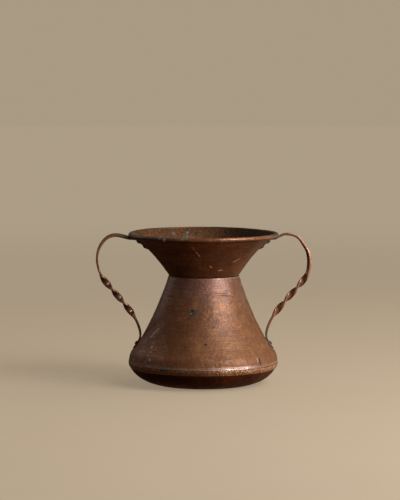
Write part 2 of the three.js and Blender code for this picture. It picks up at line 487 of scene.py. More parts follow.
def pan_outline():
    """Band 0, dish 1, inside 2."""
    flat = [mm(radius, 0) for radius in (0, 12, 24, 36, 48, 58)]
    inner_flat = [mm(radius, SHEET / MM) for radius in (56, 40, 20, 0)]
    dish_end, band_start = 0.95, 0.12
    crease = Curve(dish_curve.at(dish_end), mm(99.8, 24.3), lap_curve.at(band_start))
    return [
        *strip(flat, None, 1),
        *strip(dish_curve.run(0, 0, dish_end), dish_relief, 1),
        *strip(crease.run(0, 0.12, 0.88, 0.5 * MM), lap_relief),
        *strip(lap_curve.run(0, band_start, 1, FINE_SPACING), lap_relief),
        *strip(lip(LAP_TOP, lap_curve.beside(1, -SHEET), 0.35 * MM)),
        *strip(lap_curve.run(-SHEET, 1, 0, HIDDEN_SPACING), None, 2),
        *strip(dish_curve.run(-SHEET, 0.97, 0, HIDDEN_SPACING), plain_relief, 2),
        *strip(inner_flat, None, 2),
    ]


# Handles.
def strap_route():
    """The middle of a strap from its tail on the neck, out round the loop, to its tail on the body."""
    lift = STRAP_THICKNESS / 2 + 0.05 * MM
    upper = [neck_curve.beside(NECK_TAIL_AT + 0.285 * i / 7, lift) for i in range(8)]
    loop = [
        mm(98.6, 196.4), mm(104, 198), mm(110, 199.6), mm(116.5, 200.7), mm(123, 200.1),
        mm(129.2, 197.5), mm(134, 193.1), mm(138.5, 186.6), mm(142.1, 178), mm(143.7, 169),
        mm(143.2, 160), mm(138.7, 145.8), mm(124.6, 127.9), mm(108.8, 109.7), mm(94.6, 91.6),
        mm(89.4, 81.8), mm(86.2, 73), mm(85.2, 66.4),
    ]
    lower = [bell_curve.beside(BODY_TAIL_AT - 0.065 * i, lift) for i in range(4)]
    return upper + loop + lower


def rounded_path(points, count):
    """A centripetal Catmull-Rom curve through the points, as count + 1 places equally far apart."""
    points = [2 * points[0] - points[1], *points, 2 * points[-1] - points[-2]]
    pieces = 24
    dense = []
    for a, b, c, d in zip(points, points[1:], points[2:], points[3:]):
        knots = [0.0]
        for start, end in ((a, b), (b, c), (c, d)):
            knots.append(knots[-1] + math.sqrt((end - start).length))
        for i in range(pieces):
            t = knots[1] + (knots[2] - knots[1]) * i / pieces
            mixed = [
                p + (q - p) * ((t - low) / (high - low))
                for p, q, low, high in ((a, b, *knots[0:2]), (b, c, *knots[1:3]), (c, d, *knots[2:4]))
            ]
            near = mixed[0] + (mixed[1] - mixed[0]) * ((t - knots[0]) / (knots[2] - knots[0]))
            far = mixed[1] + (mixed[2] - mixed[1]) * ((t - knots[1]) / (knots[3] - knots[1]))
            dense.append(near + (far - near) * ((t - knots[1]) / (knots[2] - knots[1])))
    dense.append(points[-2])
    reach = [0.0]
    for a, b in zip(dense, dense[1:]):
        reach.append(reach[-1] + (b - a).length)
    places, index = [], 0
    for i in range(count + 1):
        wanted = reach[-1] * i / count
        while index < len(reach) - 2 and reach[index + 1] < wanted:
            index += 1
        share = (wanted - reach[index]) / (reach[index + 1] - reach[index])
        places.append(dense[index].lerp(dense[index + 1], share))
    return places, reach[-1]


def section(width, thickness, corner):
    """A flat bar's section with rounded corners, as (across its thickness, across its width).
    Each x, even a zero, has the sign of the wide face that the point is hammered with."""
    points = []
    for quarter, (side_x, side_y) in enumerate(((1, 1), (-1, 1), (-1, -1), (1, -1))):
        centre = Vector((side_x * (thickness / 2 - corner), side_y * (width / 2 - corner)))
        for i in range(4):
            angle = math.radians(90 * quarter + 30 * i)
            points.append(centre + Vector((math.cos(angle), math.sin(angle))) * corner)
        if quarter in (0, 2):
            points.append(Vector((math.copysign(0, side_x), side_y * width / 2)))
        else:
            for share in (0.6, 0.2, -0.2, -0.6):
                points.append(Vector((side_x * thickness / 2, side_y * share * (width / 2 - corner))))
    return points


def narrow_faces():
    """For each face round a strap's section: 1 on its two narrow edges, 0 on its wide faces."""
    outline = section(STRAP_WIDTH, STRAP_THICKNESS, STRAP_CORNER)
    limit = STRAP_WIDTH / 2 - STRAP_CORNER / 2
    following = outline[1:] + outline[:1]
    return [int(abs(a.y + b.y) / 2 > limit) for a, b in zip(outline, following)]


# Each loop is already turned a little before its twisted part: (share of length, degrees).
EARLY_TWIST = {
    "right": [(0.105, 0), (0.15, 9), (0.26, 9), (0.40, 22)],
    "left": [(0.105, 0), (0.15, 16), (0.27, 11), (0.40, 3)],
}


def early_twist(side, share):
    steps = EARLY_TWIST[side]
    turn = 0.0
    for (start, before), (end, after) in zip(steps, steps[1:]):
        turn += (after - before) * smooth(share, start, end)
    return turn


def twist_at(side, share):
    """How far the strap has turned, in radians."""
    gentle = math.radians(early_twist(side, share))
    ease = 0.009
    nearby = [share + ease * offset for offset in (-2, -1, 0, 1, 2)]
    run = sum(clamp((at - TWIST_FROM) / (TWIST_TO - TWIST_FROM)) for at in nearby) / len(nearby)
    return -(gentle + run * (TWIST_TURNS * 2 * math.pi - gentle))


# The two loops were bent by eye, so each strays from the plain route: (share of length, width, mm outward).
STRAYS = {
    "right": [(0.165, 0.035, 2.2), (0.30, 0.055, -2.3), (0.40, 0.06, -1.4)],
    "left": [(0.335, 0.07, 0.6)],
}


def stray_at(side, share):
    return sum(out * MM * math.exp(-((share - at) / width) ** 2) for at, width, out in STRAYS[side])


def thinned(from_end):
    """The strap's thickness as a share of its full one. Its ends are beaten thin."""
    return TAIL_SHARE + (1 - TAIL_SHARE) * smooth(from_end, 4 * MM, 26 * MM)


def strap(side):
    """A hammered strap on one side of the jar, twisted in its lower half, with thinned round tails.
    Wide faces and ends 0, narrow edges 1."""
    places, length = rounded_path(strap_route(), STRAP_STEPS)
    places = [Vector((p.x, 0, p.y)) for p in places]
    turn = Matrix.Rotation(SIDES[side], 4, "Z")
    shift = Vector((0, 0, 50 * MM if side == "left" else 0))
    vertices, faces = [], []
    narrow = narrow_faces()
    ring_size = len(narrow)
    for i, centre in enumerate(places):
        share = i / STRAP_STEPS
        tangent = (places[min(i + 1, STRAP_STEPS)] - places[max(i - 1, 0)]).normalized()
        normal = Vector((0, 1, 0)).cross(tangent)
        centre = centre - normal * stray_at(side, share)
        flat = normal.copy()
        normal.rotate(Quaternion(tangent, twist_at(side, share)))
        across = tangent.cross(normal)
        from_end = min(share, 1 - share) * length
        narrowed = TAIL_SHARE + (1 - TAIL_SHARE) * smooth(from_end, -1.0 * MM, 4 * MM)
        width = STRAP_WIDTH * narrowed * (1 + 0.05 * noise.noise((centre + shift) / (11 * MM)))
        thin = thinned(from_end)
        centre += flat * math.copysign((1 - thin) * STRAP_THICKNESS / 2, share - 0.5)
        thickness = STRAP_THICKNESS * thin * (1 + 0.07 * noise.noise((centre - shift) / (7 * MM)))
        corner = min(STRAP_CORNER, 0.42 * thickness)
        for point in section(width, thickness, corner):
            place = centre + normal * point.x + across * point.y
            place += normal * math.copysign(hammered(place + shift, 4.5 * MM, 0.13 * MM), point.x)
            vertices.append(settled(turn @ place))
    for i in range(STRAP_STEPS):
        for j in range(ring_size):
            after = (j + 1) % ring_size
            low, high = i * ring_size, (i + 1) * ring_size
            faces.append((low + j, low + after, high + after, high + j))
    faces.append(tuple(reversed(range(ring_size))))
    last = STRAP_STEPS * ring_size
    faces.append(tuple(range(last, last + ring_size)))
    return vertices, faces, narrow * STRAP_STEPS + [0, 0]


# Rivets: the curve that they go through, their share of it, and how far they are from the strap's end.
RIVETS = {
    "rim": (neck_curve, RIM_RIVET_AT, 16 * MM),
    "neck": (neck_curve, NECK_RIVET_AT, 5 * MM),
    "body": (bell_curve, BODY_RIVET_AT, 13 * MM),
}


def rivet_outline(strap_face):
    """A rivet about its own axis, from its inner head, up its shank, to its outer head on the strap."""
    inner_height = 1.1 * MM
    roundness = 0.8
    inner, outer = [], []
    for angle in (0, 18, 36, 54, 72, 90):
        away, down = math.sin(math.radians(angle)), math.cos(math.radians(angle))
        inner.append(Vector((HEAD_RADIUS * away, -SHEET - inner_height * down)))
    for angle in (0, 14, 28, 42, 56, 70, 80):
        away, up = math.cos(math.radians(angle)) ** roundness, math.sin(math.radians(angle))
        outer.append(Vector((HEAD_RADIUS * away, strap_face + HEAD_HEIGHT * up)))
    outer.append(Vector((0, strap_face + HEAD_HEIGHT)))
    shank = [Vector((SHANK_RADIUS, -SHEET)), Vector((SHANK_RADIUS, strap_face))]
    return [*strip(inner, rivet_relief), *strip(shank), *strip(outer, rivet_relief)]


def rivet_relief(place):
    return lumpy(place + Vector((3, 1, 2)) * MM, 1.6 * MM, 0.22 * MM)


def rivet_pose(side, where):
    """The matrix that sets a rivet square to the sheet it goes through."""
    curve, share, _ = RIVETS[where]
    on, out = curve.at(share), curve.beside(share, 1) - curve.at(share)
    axis = Vector((out.x, 0, out.y)).normalized()
    across = Vector((0, 1, 0))
    turn = Matrix((across.cross(axis), across, axis)).transposed().to_4x4()
    place = Matrix.Translation(Vector((on.x, 0, on.y)))
    return Matrix.Rotation(SIDES[side], 4, "Z") @ place @ turn


# Materials.
MIX_FIRST, MIX_SECOND, MIX_RESULT = 6, 7, 2  # The colour sockets of Blender's mix node.


class Nodes:
    """A node tree with a short call for each kind of node. All but node and plug return a socket."""

    def __init__(self, tree):
        self.tree = tree
        self.tree.nodes.clear()

    def node(self, kind, settings=None, **inputs):
        made = self.tree.nodes.new(kind)
        for key, value in (settings or {}).items():
            setattr(made, key, value)
        for key, value in inputs.items():
            self.plug(made.inputs[key], value)
        return made

    def plug(self, socket, value):
        if isinstance(value, bpy.types.NodeSocket):
            self.tree.links.new(value, socket)
        else:
            socket.default_value = value

    def math(self, operation, first, second):
        made = self.node("ShaderNodeMath", {"operation": operation})
        self.plug(made.inputs[0], first)
        self.plug(made.inputs[1], second)
        return made.outputs[0]

    def both(self, first, *others):
        """The product of masks, which is 1 only where all of them are."""
        for other in others:
            first = self.math("MULTIPLY", first, other)
        return first

    def either(self, first, *others):
        """The highest of masks, which is 1 where any of them is."""
        for other in others:
            first = self.math("MAXIMUM", first, other)
        return first

    def total(self, start, *terms):
        """The start with every (mask, factor) added to it."""
        for mask, factor in terms:
            start = self.math("ADD", start, self.math("MULTIPLY", mask, factor))
        return start

    def between(self, share, low, high):
        return self.total(low, (share, high - low))

    def step(self, value, low, high):
        """An S from 0 at low to 1 at high. With low above high it falls."""
        made = self.node("ShaderNodeMapRange", {"interpolation_type": "SMOOTHSTEP"}, Value=value)
        made.inputs["From Min"].default_value = low
        made.inputs["From Max"].default_value = high
        return made.outputs["Result"]

    def vector(self, operation, first, second):
        made = self.node("ShaderNodeVectorMath", {"operation": operation})
        self.plug(made.inputs[0], first)
        self.plug(made.inputs[1], second)
        return made.outputs["Value" if operation == "DISTANCE" else "Vector"]

    def mix(self, share, first, second):
        made = self.node("ShaderNodeMix", {"data_type": "RGBA"}, Factor=share)
        for index, value in ((MIX_FIRST, first), (MIX_SECOND, second)):
            self.plug(made.inputs[index], (*value, 1) if isinstance(value, tuple) else value)
        return made.outputs[MIX_RESULT]


# A thin hard skin of oxide lies on the copper. It shines white over the metal's own colour.
COAT_ROUGHNESS = 0.22
OXIDE_INDEX = 1.7
PLAIN_INDEX = 1.5

VERDIGRIS = (0.10, 0.27, 0.25)
VERDIGRIS_DARK = (0.018, 0.055, 0.06)
CHALK = (0.42, 0.46, 0.44)
SLATE = (0.20, 0.18, 0.18)

RAGGED = 0.35  # How far the edge of a spot wanders, as a share of its radius.


def jar_place(given):
    """A place in metres, which can also be given as what on_jar needs."""
    return given if isinstance(given, Vector) else on_jar(*given)


class Paint(Nodes):
    """A material with one Principled shader. Its patterns are in the jar's own millimetres."""

    def __init__(self, name, metallic=0.0):
        self.material = bpy.data.materials.new(name)
        self.material.use_nodes = True
        super().__init__(self.material.node_tree)
        self.shader = self.node("ShaderNodeBsdfPrincipled")
        output = self.node("ShaderNodeOutputMaterial")
        self.tree.links.new(self.shader.outputs["BSDF"], output.inputs["Surface"])
        metres = self.node("ShaderNodeTexCoord").outputs["Object"]
        self.place = self.vector("MULTIPLY", metres, (1 / MM, 1 / MM, 1 / MM))
        self.x, self.y, self.height = self.node("ShaderNodeSeparateXYZ", Vector=self.place).outputs
        self.colour = None
        self.metallic = metallic

    def moved(self, stretch, shift):
        """The place, stretched and shifted by metres, so that two patterns of one size differ."""
        far = shift / MM
        return self.vector("ADD", self.vector("MULTIPLY", self.place, stretch), (far, far * 0.7, -far))

    def noise(self, size, detail=3.0, rough=0.55, stretch=(1, 1, 1), shift=0.0):
        """Cloudy 0 to 1 noise with features about size wide."""
        made = self.node(
            "ShaderNodeTexNoise",
            Vector=self.moved(stretch, shift), Scale=1 / size, Detail=detail, Roughness=rough,
        )
        return made.outputs["Fac"]

    def clouds(self, low, high, *pattern, **more):
        """A mask from noise: 0 where the noise is at low, 1 where it is at high."""
        return self.step(self.noise(*pattern, **more), low, high)

    def cells(self, size, shift=0.0):
        """How far the nearest of scattered points is, as a share of size, the distance between them."""
        made = self.node("ShaderNodeTexVoronoi", Vector=self.moved((1, 1, 1), shift), Scale=1 / size)
        return made.outputs["Distance"]

    def speckles(self, size, low, high, shift):
        """Scattered small flecks, gathered where a broader noise is high."""
        dots = self.step(self.noise(size, 4, 0.7, shift=shift), low, high)
        where = self.clouds(0.50, 0.62, size * 9, 2, shift=shift + 0.2)
        return self.both(dots, where)

    def spot(self, centre, radius):
        """1 inside a ragged round spot, 0 outside it."""
        away = self.vector("DISTANCE", self.place, tuple(jar_place(centre) / MM))
        uneven = self.total(away, (self.noise(radius * 0.9, 2), 2 * RAGGED * radius))
        return self.step(uneven, radius * (1.15 + RAGGED), radius * (0.7 + RAGGED))

    def streak(self, start, end, radius):
        """1 along a ragged line of spots from start to end."""
        start, end = jar_place(start), jar_place(end)
        count = max(2, math.ceil((end - start).length / MM / radius))
        return self.either(*[self.spot(start.lerp(end, i / count), radius) for i in range(count + 1)])

    def tint(self, mask, strength, colour):
        """Mixes in a colour where the mask is high."""
        self.colour = self.mix(self.math("MULTIPLY", mask, strength), self.colour, colour)

    def tarnish(self, mask, colour, strength=1.0):
        """Lays a crust that isn't metal over the surface."""
        cover = self.math("MULTIPLY", mask, strength)
        self.colour = self.mix(cover, self.colour, colour)
        self.metallic = self.math("MULTIPLY", self.metallic, self.math("SUBTRACT", 1.0, cover))

    def bump(self, *layers):
        """One normal from layers of (height 0 to 1, depth)."""
        height = self.total(0.0, *layers)
        return self.node("ShaderNodeBump", Height=height, Distance=MM, Strength=1.0).outputs["Normal"]

    def done(self, roughness, normal, coat=0.0):
        for key, value in (
            ("Base Color", self.colour), ("Roughness", roughness), ("Metallic", self.metallic),
            ("Normal", normal), ("Coat Weight", coat), ("Coat Roughness", COAT_ROUGHNESS),
            ("IOR", OXIDE_INDEX if coat else PLAIN_INDEX),
        ):
            self.plug(self.shader.inputs[key], value)
        return self.material


# How much of the surface is bare metal, under clean patina and under stains.
BARE = (0.62, 0.40)


class Copper(Paint):
    """Copper's brown patina: broad clouds, smaller stains, flecks, fine grain and turning lines.
    The shift moves all of these, so that no two pieces look the same."""

    def __init__(self, name, light, middle, dark, shift=0.0, bare=BARE):
        super().__init__(name)
        clouds = self.clouds(0.36, 0.64, 55, 3, shift=shift)
        self.stains = self.clouds(0.40, 0.70, 14, 5, 0.62, shift=shift + 0.3)
        self.flecks = self.clouds(0.36, 0.68, 2.6, 4, 0.65, shift=shift + 0.6)
        grain = self.clouds(0.42, 0.62, 1.3, 3, 0.6, shift=shift + 0.8)
        long_noise = self.noise(1.5, 3, 0.6, stretch=(0.035, 0.035, 1), shift=shift)
        self.lines = self.step(long_noise, 0.40, 0.66)
        self.colour = self.mix(clouds, middle, light)
        self.tint(self.stains, 0.55, dark)
        self.tint(self.flecks, 0.55, dark)
        self.tint(grain, 0.30, dark)
        self.tint(self.lines, 0.34, dark)
        self.metallic = self.between(self.stains, *bare)


def tint_body(paint, upper, lower):
    """Orange, brown and golden clouds, a mauve waist, a browner lower half, and painted shade: a dark band
    low on its left.
    """
    orange = paint.clouds(0.50, 0.70, 20, 3, shift=2.0)
    mottle = paint.clouds(0.42, 0.60, 7, 4, 0.6, stretch=(0.7, 0.7, 1), shift=2.5)
    golden = paint.clouds(0.50, 0.64, 11, 4, 0.6, shift=2.8)
    right_limb = paint.both(upper, paint.step(paint.x, 28, 42))
    # Painted shade: darkens a band on the left of the lower half, where the copper faces dark surroundings.
    left_painted_shade = paint.both(paint.step(paint.x, -62, -44), paint.step(paint.x, -8, -26), lower)
    paint.tint(orange, 0.5, (0.47, 0.205, 0.075))
    paint.tint(mottle, 0.38, (0.26, 0.105, 0.040))
    paint.tint(golden, 0.45, (0.62, 0.285, 0.100))
    paint.tint(upper, 0.55, (0.44, 0.240, 0.205))
    paint.tint(right_limb, 0.6, (0.28, 0.115, 0.045))
    paint.tint(lower, 0.32, (0.39, 0.152, 0.042))
    paint.tint(left_painted_shade, 0.42, (0.17, 0.062, 0.012))


# Small tarnished spots on the body: (angle, height in mm, radius in mm, colour).
BODY_SPOTS = (
    (-15.2, 100.8, 1.7, (0.15, 0.26, 0.26)),
    (-13.9, 104.4, 1.5, (0.006, 0.006, 0.008)),
    (1.5, 62.1, 2.0, (0.008, 0.018, 0.005)),
    (18, 43.9, 1.9, (0.05, 0.14, 0.16)),
    (17.3, 49.5, 1.3, (0.18, 0.20, 0.20)),
    (-14.2, 31.2, 2.3, (0.05, 0.08, 0.08)),
    (-2, 31.2, 1.6, (0.10, 0.08, 0.06)),
    (79, 135, 2.0, CHALK),
)


def tarnish_body(paint):
    """Specks of verdigris, a large blue spot, small spots, and a black nick with a pale edge."""
    blue = paint.either(paint.spot((-13.7, 100.6), 4.3), paint.spot((-13.9, 104.2), 2.4))
    paint.tarnish(paint.speckles(3, 0.70, 0.76, 3.0), VERDIGRIS_DARK, 0.8)
    paint.tarnish(blue, (0.035, 0.055, 0.075), 0.92)
    for angle, height, radius, colour in BODY_SPOTS:
        paint.tarnish(paint.spot((angle, height), radius), colour)
    paint.tarnish(paint.spot((45, 143), 2.6), (0.30, 0.28, 0.32), 0.6)
    paint.tarnish(paint.streak((48.3, 41), (49.2, 32.5), 1.7), (0.008, 0.012, 0.022))
    paint.tarnish(paint.streak((46.3, 42), (46.8, 37), 1.1), (0.62, 0.52, 0.48))
    paint.tarnish(paint.streak((-36, 31.8), (-29, 31.2), 2.3), VERDIGRIS_DARK)


def scuff_body(paint, lower):
    """Pale ragged scuffs low on the left, fainter towards the back, and a scratch and two bare spots."""
    distance = paint.total(paint.cells(6.5, 4.0), (paint.noise(3.0, 4, 0.6, shift=4.2), 1.6))
    crowded = paint.clouds(0.30, 0.44, 15, 3, shift=4.5)
    scuffs = paint.between(paint.both(paint.step(distance, 1.14, 0.90), crowded), 0.10, 0.62)
    left_side = paint.step(paint.x, -42, -62)
    frontward = paint.between(paint.step(paint.y, 25, -35), 0.3, 1.0)
    bare = paint.either(
        paint.streak((-61, 67), (-54, 78.5), 1.8),
        paint.spot((-52, 55.3), 2.4), paint.spot((-46, 39.6), 2.0),
    )
    paint.tint(paint.both(scuffs, left_side, lower), frontward, (0.80, 0.54, 0.49))
    paint.tint(bare, 0.85, (0.95, 0.68, 0.64))


def rub_and_highlight_body(paint):
    """Painted highlight: brightens the colour of the line above the seam and of the body's top edge, mostly
    on the right. Returns the mask, which also makes them smoother and glossier.
    """
    above_seam = paint.both(
        paint.step(paint.height, 29.0, 29.6), paint.step(paint.height, 34.5, 31)
    )
    top_edge = paint.step(paint.height, WAIST_HEIGHT / MM - 2.4, WAIST_HEIGHT / MM - 1.2)
    right_part = paint.both(paint.step(paint.x, 0, 30), paint.step(paint.x, 74, 54))
    edges = paint.either(above_seam, paint.math("MULTIPLY", top_edge, 0.5))
    rubbed_and_painted_highlight = paint.both(edges, paint.between(right_part, 0.25, 1.0))
    # Painted highlight: a pale tint along the seam line and the top edge, strongest on the lit right.
    paint.tint(rubbed_and_painted_highlight, 0.9, (0.98, 0.76, 0.66))
    return rubbed_and_painted_highlight


def body_copper():
    """The body's outside: brown, with turning lines and a glossy oxide skin that is duller lower down."""
    paint = Copper("copper_body", (0.52, 0.245, 0.128), (0.42, 0.180, 0.078), (0.17, 0.072, 0.034))
    upper = paint.step(paint.height, WAIST_HEIGHT / MM - 45, WAIST_HEIGHT / MM - 8)
    lower = paint.step(paint.height, 105, 60)
    tint_body(paint, upper, lower)
    paint.metallic = paint.total(paint.metallic, (lower, -0.14))
    tarnish_body(paint)
    scuff_body(paint, lower)
    rubbed_and_painted_highlight = rub_and_highlight_body(paint)
    rough = paint.total(
        paint.between(paint.stains, 0.44, 0.54),
        (paint.flecks, 0.06), (lower, 0.08), (upper, 0.03), (rubbed_and_painted_highlight, -0.30),
    )
    normal = paint.bump(
        (paint.lines, 0.12), (paint.noise(1.8, 3), 0.15),
        (paint.noise(3.6, 2), 0.32), (paint.cells(3.2), 0.14),
    )
    coat = paint.total(paint.between(lower, 0.42, 0.18), (rubbed_and_painted_highlight, 0.25))
    return paint.done(rough, normal, coat)


def inner_copper():
    """The dull inside, seen through the mouth, with painted shade on its right and deeper down."""
    paint = Copper("copper_inside", (0.54, 0.245, 0.100), (0.37, 0.155, 0.062), (0.075, 0.034, 0.019), 5.0)
    specks = paint.clouds(0.52, 0.60, 2.6, 4, 0.7, shift=5.5)
    glints = paint.clouds(0.58, 0.66, 3.0, 4, 0.7, shift=7.5)
    # Painted shade: the right of the inside and its depths are darkened.
    rightward = paint.step(paint.x, -25, 70)
    deep = paint.step(paint.height, WAIST_HEIGHT / MM + 25, WAIST_HEIGHT / MM - 30)
    near_lip = paint.step(paint.height, HEIGHT / MM - 16, HEIGHT / MM - 3)
    paint.tint(specks, 0.65, (0.045, 0.022, 0.012))
    paint.tint(glints, 0.5, (0.72, 0.40, 0.22))
    paint.tint(rightward, 0.92, (0.024, 0.011, 0.006))
    paint.tint(deep, 0.75, (0.05, 0.03, 0.022))
    paint.tarnish(paint.both(paint.speckles(4, 0.60, 0.68, 6.0), near_lip), VERDIGRIS, 0.85)
    paint.tarnish(paint.spot((194.5, 197, SHEET), 2.0), (0.11, 0.42, 0.36))
    drip = paint.streak((194.8, 196, SHEET), (196, 191, SHEET), 1.2)
    paint.tarnish(drip, (0.07, 0.24, 0.21))
    paint.tarnish(paint.spot((208, 196.5, SHEET), 3.2), (0.13, 0.20, 0.19))
    rough = paint.between(paint.stains, 0.50, 0.66)
    normal = paint.bump(
        (paint.lines, 0.14), (paint.noise(3.4, 3), 0.60), (paint.flecks, 0.12)
    )
    return paint.done(rough, normal)


def neck_copper():
    """The neck's outside, darker than the body, with painted shade as a dark line under the rim, and a few
    bright scratches.
    """
    paint = Copper("copper_neck", (0.47, 0.195, 0.068), (0.31, 0.118, 0.043), (0.075, 0.030, 0.014), 8.0)
    smoked = paint.clouds(0.46, 0.62, 9, 4, 0.6, stretch=(0.5, 0.5, 1), shift=10.0)
    scratch = paint.either(
        paint.streak((-10.5, 191), (-9, 187.5), 1.2),
        paint.streak((-7.5, 184), (-4.5, 178), 1.2),
    )
    nicks = paint.either(
        paint.streak((38.5, 168.7), (46, 172.8), 1.0),
        paint.streak((8, 163.6), (10, 162), 1.2),
        paint.streak((21, 157.3), (26, 157.8), 1.1),
    )
    # Painted shade: a dark line on the neck just under the rolled rim.
    under_rim = paint.step(paint.height, TOUCH.y / MM - 6.0, TOUCH.y / MM - 3.8)
    paint.tint(smoked, 0.45, (0.11, 0.042, 0.018))
    paint.tint(scratch, 0.9, (0.85, 0.42, 0.20))
    paint.tint(nicks, 0.75, (0.95, 0.62, 0.45))
    paint.tint(under_rim, 0.9, (0.014, 0.007, 0.004))
    paint.tarnish(paint.speckles(3.5, 0.68, 0.75, 9.0), VERDIGRIS_DARK, 0.7)
    rough = paint.total(paint.between(paint.stains, 0.38, 0.52), (paint.flecks, 0.06))
    normal = paint.bump(
        (paint.lines, 0.10), (paint.noise(2.2, 3), 0.20), (paint.noise(4, 2), 0.35)
    )
    return paint.done(rough, normal, 0.08)


# Tarnished spots on the rolled rim: (angle, rise round its section, radius in mm, colour).
RIM_SPOTS = (
    (-28, 60, 2.4, VERDIGRIS_DARK), (-35.5, 45, 2.8, VERDIGRIS), (-31, -10, 2.6, CHALK),
    (-22, 75, 1.7, VERDIGRIS), (-16.5, 45, 2.2, VERDIGRIS), (-13.5, 60, 1.8, VERDIGRIS),
    (13.5, -28, 1.7, SLATE), (17.5, -24, 2.1, SLATE), (22, -30, 1.6, SLATE), (30, -26, 1.5, SLATE),
)


def rim_copper():
    """The rolled rim, worn bright, with tarnish in places and painted shade under it, on its left and at its
    back right.
    """
    paint = Copper("copper_rim", (0.72, 0.31, 0.145), (0.58, 0.230, 0.095), (0.22, 0.095, 0.050), 12.0)
    # Painted shade: darker under the bead, on its left part and at its back right.
    underside_shade = paint.step(paint.height, RIM_CENTRE.y / MM - 1.0, RIM_CENTRE.y / MM - 2.2)
    back_right_shade = paint.both(paint.step(paint.y, 20, 60), paint.step(paint.x, -30, 30))
    right_end = paint.step(paint.x, 86, 97)
    left_shade = paint.step(paint.x, -28, -58)
    paint.tint(underside_shade, 0.85, (0.02, 0.010, 0.007))
    paint.tint(back_right_shade, 0.7, (0.07, 0.042, 0.028))
    paint.tint(right_end, 0.8, (0.15, 0.13, 0.085))
    paint.tint(left_shade, 0.75, (0.10, 0.065, 0.06))
    paint.tarnish(paint.speckles(3, 0.62, 0.70, 13.0), VERDIGRIS, 0.7)
    for angle, rise, radius, colour in RIM_SPOTS:
        paint.tarnish(paint.spot(on_bead(angle, rise), radius), colour)
    rough = paint.between(paint.stains, 0.24, 0.40)
    normal = paint.bump((paint.noise(1.6, 3), 0.10), (paint.flecks, 0.05))
    return paint.done(rough, normal, 0.4)


def band_copper():
    """The bottom's upturned band, with bright patches that are partly wear and partly painted highlight, most
    of them on the lit right.
    """
    paint = Copper("copper_band", (0.72, 0.350, 0.185), (0.60, 0.265, 0.115), (0.20, 0.080, 0.036), 16.0)
    paint.tarnish(paint.speckles(3, 0.68, 0.75, 17.0), VERDIGRIS_DARK, 0.7)
    paint.tarnish(paint.streak((-35, 28.8), (-29, 28.6), 1.9), VERDIGRIS_DARK)
    paint.tarnish(paint.spot((-16, 30), 1.6), (0.09, 0.11, 0.11))
    # Partly wear, partly painted highlight: pale patches, much stronger on the right where the light falls.
    wear_and_painted_glints = paint.clouds(0.46, 0.60, 3.2, 4, 0.6, shift=18.0)
    rightward = paint.between(paint.step(paint.x, 0, 30), 0.20, 0.85)
    paint.tint(wear_and_painted_glints, rightward, (0.98, 0.64, 0.44))
    low_edge = paint.step(paint.height, 27.5, 25.5)
    rough = paint.total(paint.between(paint.stains, 0.30, 0.42), (low_edge, -0.10))
    normal = paint.bump((paint.noise(2.6, 3), 0.45), (paint.cells(3.0), 0.40))
    return paint.done(rough, normal, 0.4)


def dish_copper():
    """The dished bottom, darkened by fire and use."""
    dark_red = (0.34, 0.088, 0.026), (0.22, 0.052, 0.016), (0.055, 0.014, 0.006)
    paint = Copper("copper_dish", *dark_red, 20.0, bare=(0.7, 0.7))
    soot = paint.clouds(0.42, 0.62, 30, 4, shift=21.0)
    paint.tint(soot, 0.6, (0.028, 0.013, 0.010))
    rough = paint.between(paint.stains, 0.42, 0.58)
    normal = paint.bump(
        (paint.lines, 0.16), (paint.noise(3.0, 3), 0.65), (paint.flecks, 0.10)
    )
    return paint.done(rough, normal)


def right_side(paint):
    """0 on the left handle and its rivets, 1 on the right."""
    return paint.step(paint.x, -20, 20)


def strap_copper(name, light, middle, dark, smoothest):
    """A handle strap's copper, dark and crusted on the tails."""
    paint = Copper(name, light, middle, dark, 24.0, bare=(0.85, 0.55))
    on_right = right_side(paint)
    upper_tail = paint.both(
        paint.step(paint.x, -116, -100), paint.step(paint.x, 100, 95),
        paint.step(paint.height, 150, 170),
    )
    lower_tail = paint.step(paint.total(paint.height, (on_right, 14)), 94, 78)
    tail = paint.either(upper_tail, lower_tail)
    crust = paint.clouds(0.40, 0.56, 3, 4, 0.65, shift=25.0)
    under_rim = neck_curve.beside(0.85, STRAP_THICKNESS / 2)
    pale_crust = paint.spot(Vector((under_rim.x, -STRAP_WIDTH / 2, under_rim.y)), 3)
    paint.tint(tail, 0.75, (0.045, 0.028, 0.022))
    paint.tarnish(paint.both(crust, tail), (0.16, 0.22, 0.23), paint.between(on_right, 0.12, 0.9))
    paint.tarnish(pale_crust, (0.42, 0.50, 0.56), 0.85)
    rough = paint.between(paint.stains, smoothest, smoothest + 0.14)
    normal = paint.bump((paint.noise(1.5, 3), 0.05), (paint.flecks, 0.02))
    return paint.done(rough, normal, 0.35)


def rivet_copper():
    """Dark copper rivets with a crust of green and chalky tarnish, less of it on the left."""
    paint = Paint("copper_rivet", 0.9)
    on_right = right_side(paint)
    grain = paint.clouds(0.38, 0.64, 1.4, 4, 0.6)
    green = paint.clouds(0.46, 0.60, 2.2, 3, shift=30.0)
    green = paint.both(green, paint.between(on_right, 0.25, 0.9))
    chalky = paint.clouds(0.58, 0.70, 1.6, 3, shift=31.0)
    paint.colour = paint.mix(grain, (0.035, 0.026, 0.022), (0.13, 0.068, 0.045))
    paint.tarnish(green, (0.05, 0.12, 0.12))
    paint.tarnish(chalky, CHALK, paint.between(on_right, 0.2, 0.9))
    return paint.done(0.5, paint.bump((grain, 0.08), (green, 0.08)))


def wire_iron():
    """The plain iron wire inside the rim."""
    paint = Paint("iron_wire")
    rust = paint.clouds(0.45, 0.62, 4, 4, 0.6)
    paint.colour = paint.mix(rust, (0.12, 0.115, 0.11), (0.11, 0.045, 0.02))
    paint.metallic = paint.between(rust, 1.0, 0.2)
    normal = paint.bump((paint.noise(1, 3), 0.06))
    return paint.done(paint.between(rust, 0.45, 0.85), normal)


PALE = (0.40, 0.325, 0.23)


